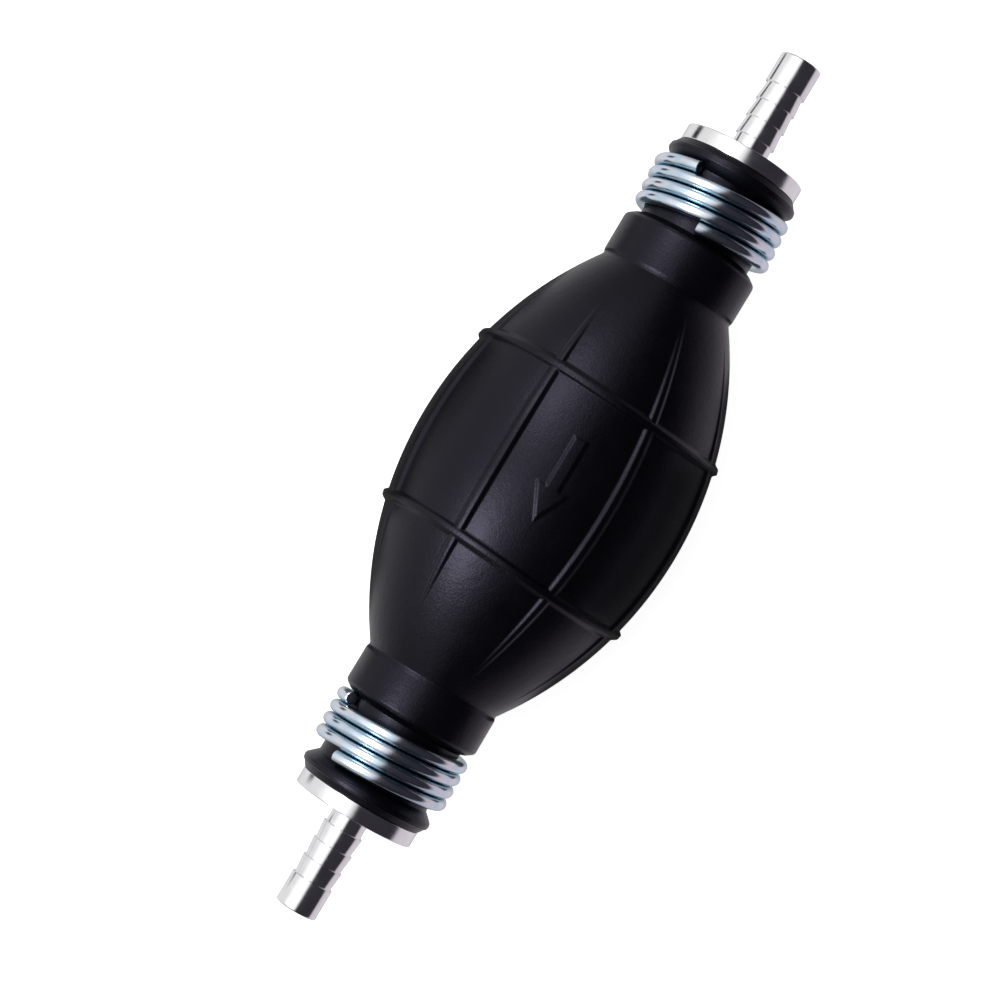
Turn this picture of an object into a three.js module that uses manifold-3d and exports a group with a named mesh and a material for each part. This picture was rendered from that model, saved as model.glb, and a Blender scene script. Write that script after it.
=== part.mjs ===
// Siphon bulb pump: a hand primer bulb with a hose barb and a check valve at each end.
//
// Millimetres, +Z up. The pump lies along X with its origin at the centre of the bulb, on the axis.
// Liquid enters at the -X end and leaves at the +X end. The flow arrow is on top (+Z) and points along +X.
// "Left" and "right" are as seen looking along the flow with the arrow on top, so left is +Y.
// Both ends have the same outside, so their outlines are given as distances from the bulb's centre.

import * as THREE from "three";
import { mergeVertices } from "three/addons/utils/BufferGeometryUtils.js";
import Module from "manifold-3d";

// ---------------------------------------------------------------- driving dimensions

const TOTAL_LENGTH = 175.5;
const HALF_LENGTH = TOTAL_LENGTH / 2;
const GAP = 0.3; // between pieces that touch
const ROOT = 1; // how far a shape raised on the rubber reaches into it

// Rubber bulb
const BELLY_RADIUS = 25.9;
const BELLY_ARC = 70.1; // radius of the belly's long curve
const WALL = 3;
const NECK_RADIUS = 13.15;
const NECK_BORE = 8.5;
const SHOULDER_EDGE = 48; // end of the neck's thick shoulder
const GROOVE_FROM = 49.2; // clamp groove
const GROOVE_TO = 62.6;
const GROOVE_RADIUS = 10.8;
const LIP_RADIUS = 12.7;
const LIP_END = 64.85;
const LIP_FACE_RADIUS = 11.3;
const RUBBER_EDGE = 0.4; // chamfer on the edges of the lip and shoulder
const REST_FLAT = 3; // half length of the belly's straight middle facet

// Raised ribs and arrow on the bulb
const HOOPS = [-17.5, 15.6];
const HOOP_HALF_WIDTH = 0.9;
const HOOP_CREST_HALF_WIDTH = 0.35;
const HOOP_HEIGHT = 0.75;
const LONG_RIBS = 8;
const LONG_RIB_HALF_LENGTH = 35.5;
const LONG_RIB_WIDTH = 1.8;
const LONG_RIB_HEIGHT = 0.6;
const ARROW_TAIL = -10.8;
const ARROW_TIP = 6.2;
const ARROW_HEAD_LENGTH = 6;
const ARROW_HEAD_WIDTH = 6.5;
const ARROW_STEM_WIDTH = 2.4;
const ARROW_HEIGHT = 0.35;

// The two stretches of bulb wall that flex when the bulb is squeezed
const FLEX_HALF_LENGTH = 22;
const FLEX_HALF_HEIGHT = 14;

// Aluminium end fitting
const SPIGOT_END = 46;
const SPIGOT_RADIUS = 7.7;
const SPIGOT_RIDGE_RADIUS = NECK_BORE - GAP;
const SPIGOT_RIDGES = [49.5, 54, 58.5];
const SPIGOT_RIDGE_LENGTH = 2.2;
const FLANGE_FROM = LIP_END + GAP;
const FLANGE_TO = 68;
const FLANGE_RADIUS = 11.65;
const EDGE_BREAK = 0.3;
const BARB_ROOT_RADIUS = 3.55;
const BARB_VALLEY_RADIUS = 3.6;
const BARB_RADIUS = 3.95;
const BARB_ROOT_LENGTH = 3.25;
const BARB_PITCH = 3.5;
const BARBS = 3;
const TIP_RADIUS = 4;
const TIP_CHAMFER = 0.5;
const THROUGH_BORE = 2.3;
const MOUTH_CHAMFER = 0.4;

// Valve chamber inside each fitting's spigot
const CHAMBER_RADIUS = 4.6;
const INLET_CHAMBER_TO = 62;
const RING_GROOVE_FROM = 46.7;
const RING_GROOVE_TO = 47.6;
const RING_GROOVE_RADIUS = 5.2;
const INSERT_RADIUS = 4.45;
const FIT = 0.1; // clearance between neighbours inside the chamber
const INSERT_FROM = RING_GROOVE_TO + FIT;

// Valve parts
const BALL_RADIUS = 3.5;
const BALL_TRAVEL = 1.8;
const SEAL_SECTION = 0.9;
const SEAL_RADIUS = 3.5;
const SEAT_THICKNESS = 2.5;
const RETAINER_THICKNESS = 1;
const RETAINER_BORE = 1.5;
const RETAINER_HOLES = 6;
const RETAINER_HOLE_RADIUS = 0.65;
const RETAINER_HOLE_CIRCLE = 3.2;
const SPRING_WIRE = 0.25;
const SPRING_RADIUS = 2.35;
const SPRING_TURNS = 5;
const SPRING_SPARE = 1.9; // left between the turns when the valve is fully open
const SPRING_LENGTH = SPRING_TURNS * 2 * SPRING_WIRE + BALL_TRAVEL + SPRING_SPARE;
const SNAP_RING_RADIUS = 5;
const SNAP_RING_INNER = 3.8;
const SNAP_RING_THICKNESS = 0.7;
const SNAP_RING_OPENING = THREE.MathUtils.degToRad(70);

// Coil clamps. Angles are from the arrow's side (+Z) towards +Y, at each wire end nearest the flange.
const CLAMP_WIRE = 1.2;
const CLAMP_RADIUS = 12.25;
const CLAMP_PITCH = 2.5;
const INLET_CLAMP = { side: -1, outerEnd: 61.1, angle: -30, turns: 3.94, lean: 4 };
const OUTLET_CLAMP = { side: 1, outerEnd: 60.3, angle: -37, turns: 3.84, lean: 1.5 };

// Facets: sides round a circle, steps in one turn of a coil, and the longest flat along a curved outline
const BULB_SIDES = 40;
const FITTING_SIDES = 24;
const BALL_SIDES = 16;
const BALL_BANDS = 10;
const SEAL_SIDES = 20;
const SEAL_SECTION_SIDES = 8;
const CLAMP_WIRE_SIDES = 8;
const CLAMP_STEPS = 20;
const SPRING_WIRE_SIDES = 6;
const SPRING_STEPS = 10;
const RETAINER_SIDES = 14;
const SNAP_RING_SIDES = 24;
const FLAT_LENGTH = 7;

// ---------------------------------------------------------------- materials

const finish = (color, roughness, metalness) =>
  new THREE.MeshStandardMaterial({ color, roughness, metalness });
const bulbRubber = () => finish(0x1f1d24, 0.55, 0);
const aluminium = () => finish(0xd9dbde, 0.25, 1);
const zincSteel = () => finish(0xb9c8d2, 0.25, 1);
const ballSteel = () => finish(0xc8cacc, 0.12, 1);
const springSteel = () => finish(0xa9abad, 0.35, 1);
const valveBrass = () => finish(0xc9a455, 0.35, 1);
const sealRubber = () => finish(0x17171a, 0.6, 0);

// ---------------------------------------------------------------- shape helpers

const wasm = await Module();
wasm.setup();
const WELD = 1e-4; // vertices closer than this are one

// A closed three.js geometry as a solid that can be joined and cut.
function solidOf(geometry) {
  const bare = geometry.index ? geometry.toNonIndexed() : geometry.clone();
  bare.deleteAttribute("normal");
  bare.deleteAttribute("uv");
  const merged = mergeVertices(bare, WELD);
  return new wasm.Manifold(
    new wasm.Mesh({
      numProp: 3,
      vertProperties: merged.attributes.position.array,
      triVerts: new Uint32Array(merged.index.array),
    }),
  );
}

function geometryOf(solid) {
  const { vertProperties, triVerts } = solid.getMesh();
  const geometry = new THREE.BufferGeometry();
  geometry.setAttribute("position", new THREE.BufferAttribute(vertProperties, 3));
  geometry.setIndex(new THREE.BufferAttribute(triVerts, 1));
  geometry.computeVertexNormals();
  return geometry;
}

// Turns a closed outline of [distance along X, radius] points about the X axis.
function turned(outline, sides) {
  let area = 0;
  outline.forEach(([x, r], i) => {
    const [nextX, nextR] = outline[(i + 1) % outline.length];
    area += x * nextR - nextX * r;
  });
  const ordered = area > 0 ? [...outline].reverse() : [...outline];
  const points = [...ordered, ordered[0]].map(([x, r]) => new THREE.Vector2(r, x));
  const geometry = new THREE.LatheGeometry(points, sides, Math.PI / sides);
  return geometry.rotateZ(-Math.PI / 2);
}

// An outline given as distances from the bulb's centre, placed on the inlet (-1) or outlet (+1) side.
const onSide = (outline, side) => outline.map(([d, r]) => [side * d, r]);

// A round wire that follows a curve. three.js makes two sides of each curve segment of an arc.
function wire(curve, radius, sides, steps) {
  const section = new THREE.Shape();
  section.absarc(0, 0, radius, 0, 2 * Math.PI);
  return new THREE.ExtrudeGeometry(section, { curveSegments: sides / 2, steps, extrudePath: curve });
}

// A flat shape drawn in the YZ plane, from x to x + thickness, whose arcs have the given sides.
function plate(shape, x, thickness, sides) {
  const geometry = new THREE.ExtrudeGeometry(shape, {
    depth: thickness,
    bevelEnabled: false,
    curveSegments: sides / 2,
  });
  return geometry.rotateY(Math.PI / 2).translate(x, 0, 0);
}

// ---------------------------------------------------------------- rubber bulb

const bellyAt = (x) => BELLY_RADIUS - BELLY_ARC + Math.sqrt(BELLY_ARC ** 2 - x ** 2);
const INNER_ARC = BELLY_ARC - WALL;
const innerAt = (x) => BELLY_RADIUS - BELLY_ARC + Math.sqrt(INNER_ARC ** 2 - x ** 2);
const arcEnd = (arc, radius) =>
  Math.sqrt(arc ** 2 - (radius + BELLY_ARC - BELLY_RADIUS) ** 2);
const NECK_FROM = arcEnd(BELLY_ARC, NECK_RADIUS);
const CHAMBER_END = arcEnd(INNER_ARC, NECK_BORE);

// Points along a curve radiusAt(x), both ends included.
function stretch(radiusAt, from, to) {
  const steps = Math.ceil(Math.abs(to - from) / FLAT_LENGTH);
  return Array.from({ length: steps + 1 }, (_, i) => {
    const x = from + ((to - from) * i) / steps;
    return [x, radiusAt(x)];
  });
}

function hoop(x, raised) {
  return [
    [x - HOOP_CREST_HALF_WIDTH, bellyAt(x) + raised],
    [x + HOOP_CREST_HALF_WIDTH, bellyAt(x) + raised],
  ];
}

// From the end of the rubber to the start of the belly, as distances from the centre.
const NECK_OUTLINE = [
  [LIP_END, NECK_BORE],
  [LIP_END, LIP_FACE_RADIUS],
  [LIP_END - RUBBER_EDGE, LIP_RADIUS - RUBBER_EDGE],
  [LIP_END - 2 * RUBBER_EDGE, LIP_RADIUS],
  [GROOVE_TO + RUBBER_EDGE, LIP_RADIUS],
  [GROOVE_TO, LIP_RADIUS - RUBBER_EDGE],
  [GROOVE_TO, GROOVE_RADIUS],
  [GROOVE_FROM, GROOVE_RADIUS],
  [SHOULDER_EDGE + RUBBER_EDGE, NECK_RADIUS - RUBBER_EDGE],
  [SHOULDER_EDGE, NECK_RADIUS],
];

function bulbShell() {
  const [inletHoop, outletHoop] = HOOPS;
  const belly = [
    ...stretch(bellyAt, -NECK_FROM, inletHoop - HOOP_HALF_WIDTH),
    ...hoop(inletHoop, HOOP_HEIGHT),
    ...stretch(bellyAt, inletHoop + HOOP_HALF_WIDTH, -REST_FLAT),
    ...stretch(bellyAt, REST_FLAT, outletHoop - HOOP_HALF_WIDTH),
    ...hoop(outletHoop, HOOP_HEIGHT),
    ...stretch(bellyAt, outletHoop + HOOP_HALF_WIDTH, NECK_FROM),
  ];
  const outline = [
    ...onSide(NECK_OUTLINE, -1),
    ...belly,
    ...onSide(NECK_OUTLINE, 1).reverse(),
    ...stretch(innerAt, CHAMBER_END, -CHAMBER_END),
  ];
  return solidOf(turned(outline, BULB_SIDES));
}

// One raised rib along the bulb, on the side of +Z, which thins out at both ends.
function longRib() {
  const raised = (x) => {
    const along = Math.min(Math.abs(x) / LONG_RIB_HALF_LENGTH, 1);
    return bellyAt(x) + LONG_RIB_HEIGHT * (1 - along ** 4);
  };
  const sunk = (x) => bellyAt(x) - ROOT;
  const outline = [
    ...stretch(raised, -LONG_RIB_HALF_LENGTH, LONG_RIB_HALF_LENGTH),
    ...stretch(sunk, LONG_RIB_HALF_LENGTH, -LONG_RIB_HALF_LENGTH),
  ];
  const shape = new THREE.Shape(outline.map(([x, z]) => new THREE.Vector2(x, z)));
  const geometry = new THREE.ExtrudeGeometry(shape, { depth: LONG_RIB_WIDTH, bevelEnabled: false });
  return geometry.translate(0, 0, -LONG_RIB_WIDTH / 2).rotateX(Math.PI / 2);
}

// The flow arrow: an upright arrow-shaped column, trimmed to a skin just above the bulb.
function flowArrow() {
  const stem = ARROW_STEM_WIDTH / 2;
  const head = ARROW_HEAD_WIDTH / 2;
  const neck = ARROW_TIP - ARROW_HEAD_LENGTH;
  const half = [
    [ARROW_TAIL, stem],
    [neck, stem],
    [neck, head],
  ];
  const outline = [...half, [ARROW_TIP, 0], ...half.map(([x, y]) => [x, -y]).reverse()];
  const shape = new THREE.Shape(outline.map(([x, y]) => new THREE.Vector2(x, y)));
  const column = new THREE.ExtrudeGeometry(shape, { depth: BELLY_RADIUS, bevelEnabled: false });
  column.translate(0, 0, BELLY_RADIUS - WALL);
  const skin = [
    ...stretch((x) => bellyAt(x) + ARROW_HEIGHT, ARROW_TAIL - ROOT, ARROW_TIP + ROOT),
    ...stretch((x) => bellyAt(x) - ROOT, ARROW_TIP + ROOT, ARROW_TAIL - ROOT),
  ];
  return solidOf(column).intersect(solidOf(turned(skin, BULB_SIDES)));
}

function wholeBulb() {
  let bulb = bulbShell();
  const step = (2 * Math.PI) / LONG_RIBS;
  for (let i = 0; i < LONG_RIBS; i++) {
    bulb = bulb.add(solidOf(longRib().rotateX((i + 0.5) * step)));
  }
  return bulb.add(flowArrow());
}

// The block of space that holds one flexing wall, grown all round by a margin.
function flexBlock(side, margin) {
  const block = new THREE.BoxGeometry(
    2 * (FLEX_HALF_LENGTH + margin),
    2 * BELLY_RADIUS,
    2 * (FLEX_HALF_HEIGHT + margin),
  );
  return solidOf(block.translate(0, side * BELLY_RADIUS, 0));
}

const bulb = wholeBulb();

function bulbBody() {
  const left = flexBlock(1, GAP);
  const right = flexBlock(-1, GAP);
  return geometryOf(bulb.subtract(left).subtract(right));
}

const bulbWall = (side) => geometryOf(bulb.intersect(flexBlock(side, 0)));

// ---------------------------------------------------------------- valve places

// Distance from the centre of the ball to the centre of a ring that it rests on.
const restOn = (ringRadius, section) =>
  Math.sqrt((BALL_RADIUS + section) ** 2 - ringRadius ** 2) + FIT;
const BALL_TO_SEAL = restOn(SEAL_RADIUS, SEAL_SECTION);
const BALL_TO_SPRING = restOn(SPRING_RADIUS, SPRING_WIRE);

// Inlet: shoulder, seal, ball, spring, retainer, snap ring, going towards the bulb.
const INLET_SEAL = INLET_CHAMBER_TO - FIT - SEAL_SECTION;
const INLET_BALL = INLET_SEAL - BALL_TO_SEAL;
const INLET_SPRING = INLET_BALL - BALL_TO_SPRING;

// Outlet: snap ring, seat, seal, ball, spring, shoulder, going away from the bulb.
const OUTLET_SEAL = INSERT_FROM + SEAT_THICKNESS + FIT + SEAL_SECTION;
const OUTLET_BALL = OUTLET_SEAL + BALL_TO_SEAL;
const OUTLET_SPRING = OUTLET_BALL + BALL_TO_SPRING;
const OUTLET_CHAMBER_TO = OUTLET_SPRING + SPRING_LENGTH + SPRING_WIRE + FIT;

// ---------------------------------------------------------------- end fittings

function barbOutline() {
  const points = [[FLANGE_TO, BARB_ROOT_RADIUS]];
  for (let i = 0; i < BARBS; i++) {
    const crest = FLANGE_TO + BARB_ROOT_LENGTH + i * BARB_PITCH;
    points.push([crest, BARB_ROOT_RADIUS]);
    points.push([crest, BARB_RADIUS]);
    points.push([crest + BARB_PITCH, BARB_VALLEY_RADIUS]);
  }
  const land = FLANGE_TO + BARB_ROOT_LENGTH + BARBS * BARB_PITCH;
  points.push([land, TIP_RADIUS]);
  points.push([HALF_LENGTH - TIP_CHAMFER, TIP_RADIUS]);
  points.push([HALF_LENGTH, TIP_RADIUS - TIP_CHAMFER]);
  return points;
}

function fitting(side, chamberTo) {
  const ridges = SPIGOT_RIDGES.flatMap((d) => [
    [d, SPIGOT_RADIUS],
    [d + SPIGOT_RIDGE_LENGTH, SPIGOT_RIDGE_RADIUS],
    [d + SPIGOT_RIDGE_LENGTH, SPIGOT_RADIUS],
  ]);
  const outline = [
    [SPIGOT_END, CHAMBER_RADIUS],
    [SPIGOT_END, SPIGOT_RADIUS - EDGE_BREAK],
    [SPIGOT_END + EDGE_BREAK, SPIGOT_RADIUS],
    ...ridges,
    [FLANGE_FROM, SPIGOT_RADIUS],
    [FLANGE_FROM, FLANGE_RADIUS - EDGE_BREAK],
    [FLANGE_FROM + EDGE_BREAK, FLANGE_RADIUS],
    [FLANGE_TO - EDGE_BREAK, FLANGE_RADIUS],
    [FLANGE_TO, FLANGE_RADIUS - EDGE_BREAK],
    ...barbOutline(),
    [HALF_LENGTH, THROUGH_BORE + MOUTH_CHAMFER],
    [HALF_LENGTH - MOUTH_CHAMFER, THROUGH_BORE],
    [chamberTo, THROUGH_BORE],
    [chamberTo, CHAMBER_RADIUS],
    [RING_GROOVE_TO, CHAMBER_RADIUS],
    [RING_GROOVE_TO, RING_GROOVE_RADIUS],
    [RING_GROOVE_FROM, RING_GROOVE_RADIUS],
    [RING_GROOVE_FROM, CHAMBER_RADIUS],
  ];
  return turned(onSide(outline, side), FITTING_SIDES);
}

// ---------------------------------------------------------------- coil clamps

// A helix about X that starts at the end nearest the flange and winds in towards the bulb.
// Its turns lean, so that the +Y side lies nearer the inlet.
class ClampCurve extends THREE.Curve {
  constructor({ side, outerEnd, angle, turns, lean }) {
    super();
    this.side = side;
    this.outerEnd = outerEnd;
    this.start = THREE.MathUtils.degToRad(angle);
    this.turns = turns;
    this.slope = Math.tan(THREE.MathUtils.degToRad(lean));
  }

  getPoint(t, target = new THREE.Vector3()) {
    const angle = this.start + this.side * t * this.turns * 2 * Math.PI;
    const y = CLAMP_RADIUS * Math.sin(angle);
    const z = CLAMP_RADIUS * Math.cos(angle);
    const startY = CLAMP_RADIUS * Math.sin(this.start);
    const along = this.side * (this.outerEnd - t * this.turns * CLAMP_PITCH);
    return target.set(along - this.slope * (y - startY), y, z);
  }
}

const coilClamp = (clamp) =>
  wire(new ClampCurve(clamp), CLAMP_WIRE, CLAMP_WIRE_SIDES, Math.round(clamp.turns * CLAMP_STEPS));

// ---------------------------------------------------------------- valve parts

function valveBall(x) {
  return new THREE.SphereGeometry(BALL_RADIUS, BALL_SIDES, BALL_BANDS).translate(x, 0, 0);
}

function seatSeal(x) {
  const ring = new THREE.TorusGeometry(SEAL_RADIUS, SEAL_SECTION, SEAL_SECTION_SIDES, SEAL_SIDES);
  return ring.rotateY(Math.PI / 2).translate(x, 0, 0);
}

class SpringCurve extends THREE.Curve {
  constructor(x) {
    super();
    this.x = x;
  }

  getPoint(t, target = new THREE.Vector3()) {
    const angle = t * SPRING_TURNS * 2 * Math.PI;
    return target.set(
      this.x + t * SPRING_LENGTH,
      SPRING_RADIUS * Math.cos(angle),
      SPRING_RADIUS * Math.sin(angle),
    );
  }
}

const valveSpring = (x) =>
  wire(new SpringCurve(x), SPRING_WIRE, SPRING_WIRE_SIDES, SPRING_TURNS * SPRING_STEPS);

// A washer that the inlet spring stands on, with holes that let the liquid past.
function springRetainer() {
  const disc = new THREE.Shape();
  disc.absarc(0, 0, INSERT_RADIUS, 0, 2 * Math.PI);
  const centre = new THREE.Path();
  centre.absarc(0, 0, RETAINER_BORE, 0, 2 * Math.PI);
  disc.holes.push(centre);
  for (let i = 0; i < RETAINER_HOLES; i++) {
    const angle = (i * 2 * Math.PI) / RETAINER_HOLES;
    const hole = new THREE.Path();
    const u = RETAINER_HOLE_CIRCLE * Math.cos(angle);
    const v = RETAINER_HOLE_CIRCLE * Math.sin(angle);
    hole.absarc(u, v, RETAINER_HOLE_RADIUS, 0, 2 * Math.PI);
    disc.holes.push(hole);
  }
  return plate(disc, -INSERT_FROM - RETAINER_THICKNESS, RETAINER_THICKNESS, RETAINER_SIDES);
}

function outletSeat() {
  const outline = [
    [INSERT_FROM, THROUGH_BORE + MOUTH_CHAMFER],
    [INSERT_FROM, INSERT_RADIUS],
    [INSERT_FROM + SEAT_THICKNESS, INSERT_RADIUS],
    [INSERT_FROM + SEAT_THICKNESS, THROUGH_BORE],
    [INSERT_FROM + MOUTH_CHAMFER, THROUGH_BORE],
  ];
  return turned(outline, FITTING_SIDES);
}

function snapRing(side) {
  const half = SNAP_RING_OPENING / 2;
  const ring = new THREE.Shape();
  ring.absarc(0, 0, SNAP_RING_RADIUS, half, 2 * Math.PI - half, false);
  ring.absarc(0, 0, SNAP_RING_INNER, 2 * Math.PI - half, half, true);
  const middle = (RING_GROOVE_FROM + RING_GROOVE_TO) / 2;
  const low = side * middle - SNAP_RING_THICKNESS / 2;
  return plate(ring, low, SNAP_RING_THICKNESS, SNAP_RING_SIDES);
}

// ---------------------------------------------------------------- assembly

const pump = new THREE.Group();

function place(name, geometry, material) {
  const mesh = new THREE.Mesh(geometry, material);
  mesh.name = name;
  pump.add(mesh);
}

place("bulb_body", bulbBody(), bulbRubber());
place("bulb_wall_left", bulbWall(1), bulbRubber());
place("bulb_wall_right", bulbWall(-1), bulbRubber());

place("inlet_fitting", fitting(-1, INLET_CHAMBER_TO), aluminium());
place("inlet_coil_clamp", coilClamp(INLET_CLAMP), zincSteel());
place("inlet_seat_seal", seatSeal(-INLET_SEAL), sealRubber());
place("inlet_valve_ball", valveBall(-INLET_BALL), ballSteel());
place("inlet_valve_spring", valveSpring(-INLET_SPRING), springSteel());
place("inlet_spring_retainer", springRetainer(), valveBrass());
place("inlet_snap_ring", snapRing(-1), springSteel());

place("outlet_fitting", fitting(1, OUTLET_CHAMBER_TO), aluminium());
place("outlet_coil_clamp", coilClamp(OUTLET_CLAMP), zincSteel());
place("outlet_valve_seat", outletSeat(), valveBrass());
place("outlet_seat_seal", seatSeal(OUTLET_SEAL), sealRubber());
place("outlet_valve_ball", valveBall(OUTLET_BALL), ballSteel());
place("outlet_valve_spring", valveSpring(OUTLET_SPRING), springSteel());
place("outlet_snap_ring", snapRing(1), springSteel());

export default pump;
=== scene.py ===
"""Looks for the siphon bulb pump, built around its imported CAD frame.

Outlines and shapes are worked out in millimetres and scaled to metres when a mesh is made. The
pump lies along X, with the inlet at -X, the flow arrow on top (+Z) and its belly on the floor. Both
ends have the same outside, so end outlines are given as distances from the bulb's centre. Angles
run from the arrow's side (+Z) towards +Y.
"""

import math

import bmesh
import bpy
import numpy as np
from mathutils import Matrix, Vector


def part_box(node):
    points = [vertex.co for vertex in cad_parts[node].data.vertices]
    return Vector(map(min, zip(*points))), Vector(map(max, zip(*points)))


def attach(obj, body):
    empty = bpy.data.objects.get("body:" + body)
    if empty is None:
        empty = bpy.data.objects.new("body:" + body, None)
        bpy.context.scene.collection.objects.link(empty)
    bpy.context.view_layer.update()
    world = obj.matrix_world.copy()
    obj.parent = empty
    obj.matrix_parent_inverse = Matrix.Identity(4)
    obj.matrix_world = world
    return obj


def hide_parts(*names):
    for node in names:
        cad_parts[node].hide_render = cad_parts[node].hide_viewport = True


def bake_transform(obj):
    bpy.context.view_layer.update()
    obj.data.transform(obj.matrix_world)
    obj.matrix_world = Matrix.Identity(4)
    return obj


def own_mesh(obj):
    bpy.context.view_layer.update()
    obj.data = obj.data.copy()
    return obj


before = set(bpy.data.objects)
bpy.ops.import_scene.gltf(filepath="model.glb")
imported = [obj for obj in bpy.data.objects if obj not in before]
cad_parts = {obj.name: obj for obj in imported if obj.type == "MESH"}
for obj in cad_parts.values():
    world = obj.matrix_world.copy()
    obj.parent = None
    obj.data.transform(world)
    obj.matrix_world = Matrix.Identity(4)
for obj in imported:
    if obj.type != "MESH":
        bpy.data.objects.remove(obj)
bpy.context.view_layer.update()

MM = 0.001
BODY = "pump_body"


def cad(node, corner, axis):
    """One coordinate of a CAD node's box, in millimetres. Corner 0 is the lowest, 1 the highest."""
    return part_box(node)[corner][axis] / MM


# ---------------------------------------------------------------- sizes, in millimetres

HALF_LENGTH = cad("outlet_fitting", 1, 0)
BELLY_RADIUS = 25.9
BELLY_ARC = 69.3
WALL = 3.0
NECK_RADIUS = 13.2
NECK_STEP = 0.3  # how far the neck stands out of the belly's foot
NECK_BORE = 8.5
SHOULDERS = (49.9, 49.3)  # where the clamp's groove starts at the inlet and at the outlet
SHOULDER_WIDTH = 1.35
SHOULDER_EDGE_RADIUS = 11.95
GROOVE_RADIUS = 10.95
GROOVE_TO = 60.95
LIP_FROM, LIP_TO = 62.75, 63.75
LIP_RADIUS = 12.88
RUBBER_END = 64.93

FLANGE_FROM, FLANGE_TO = 65.0, 68.0
FLANGE_RADIUS = 11.65
SPIGOT_RADIUS = 7.7
SPIGOT_RIDGES = (49.5, 54.0, 58.5)  # where each ridge starts
SPIGOT_RIDGE_LENGTH = 2.2
BARB_FIRST = 3.25  # from the flange to the first barb's crest
BARB_PITCH = 3.5
BARB_NECK_RADIUS = 3.5
BARB_ROOT_RADIUS = 3.58
BARB_CREST_RADIUS = 3.93
BARB_TIP_RADIUS = 4.0
BORE_RADIUS = 2.3
CHAMBER_RADIUS = 4.6
CHAMBER_FIT_RADIUS = 4.45  # the outside of the parts that sit in the valve chamber
SNAP_GROOVE = (46.7, 47.6)
SNAP_GROOVE_DEPTH = 0.6

HOOPS = ((-17.1, -0.1), (16.6, 0.8))  # place along the axis, and lean in degrees
HOOP_WAVE = 0.7
HOOP_HEIGHT = 0.8
HOOP_CREST = 0.35
HOOP_FOOT = 1.2
# degrees from the arrow, and how far the rib reaches to each side of the bulb's middle
LONG_RIBS = (
    (23.3, 36.5),
    (67.5, 36.5),
    (112.5, 36.5),
    (156.7, 36.5),
    (-23.3, 31.5),
    (-67.5, 34.0),
    (-112.5, 36.5),
    (-156.7, 36.5),
)
LONG_RIB_DRIFT = -5.0  # degrees that a rib has wandered about the axis by its ends
LONG_RIB_HEIGHT = 0.6
LONG_RIB_CREST = 0.35
LONG_RIB_FOOT = 1.35
LONG_RIB_TIP = 0.45
ARROW_TAIL = -8.4
ARROW_TIP = 7.3
ARROW_HEAD_LENGTH = 6.0
ARROW_HEAD_WIDTH = 5.9
ARROW_STEM_WIDTH = 2.4
ARROW_HEIGHT = 0.3
ARROW_EDGE = 0.3

WIRE_RADIUS = 1.17
CLAMP_RADIUS = 12.28
CLAMP_PITCH = 2.5
# side, distance of the outer end from the centre, its angle, turns, and lean in degrees
INLET_CLAMP = (-1, 60.65, -29.0, 3.94, 4.0)
OUTLET_CLAMP = (1, 60.0, -40.5, 3.946, 1.5)

# the photograph's view
VIEW_DISTANCE = 530.0
VIEW_LENS = 107.2
VIEW_SENSOR = 36.0
VIEW_LEAN = 2.0  # degrees towards the outlet
VIEW_TURN = -1.75  # degrees about the axis, away from +Y
VIEW_ROLL = -120.9  # degrees from the picture's right to the pump's +X
VIEW_OFFSET = (8.71, 2.84)  # the bulb's centre, right of and above the picture's centre

# the world's light: X is that of a direction of length 1
ENDS_LIGHT = 0.45
ENDS_FADE = (0.4, 0.95)  # from and to which X the light fades towards the pump's ends
STRIP_LIGHT = 0.04
STRIP_TURN = 112.0  # degrees about the axis from +Z, away from +Y, to the dark strip
STRIP_WIDTH_FADE = (5.0, 10.0)  # degrees from there to where it starts and ends fading
STRIP_MIDDLE = -0.12  # X
STRIP_LENGTH_FADE = (0.1, 0.28)  # in X, from there to where it starts and ends fading
# cards seen only in reflections: painted shade in what the pump's flanks mirror
# name, half length, and the (y, z) of its two long edges
CARDS = (
    ("card_left", 24.0, (40.0, -24.0), (40.0, 17.0)),
    ("card_right", 24.0, (-40.0, -24.0), (-40.0, 2.0)),
    ("card_under_left", 41.0, (14.0, -25.5), (46.0, -18.0)),
    ("card_under_right", 41.0, (-14.0, -25.5), (-46.0, -18.0)),
)
CARD_SHADE_GREY = 0.14
FLOOR_GREY = 0.85
FLOOR_GLOW = 0.9
LAMP_DISTANCE = 700.0
LAMP_SIZE = 260.0
LAMP_POWERS = (1.0, 2.0)  # watts, towards the inlet and towards the outlet
LAMP_LEAN = 26.0  # degrees towards each end
LAMP_TURN = -36.0  # degrees about the axis, away from +Y


# ---------------------------------------------------------------- outlines


def smoothstep(low, high, value):
    t = np.clip((value - low) / (high - low), 0.0, 1.0)
    return t * t * (3.0 - 2.0 * t)


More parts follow.
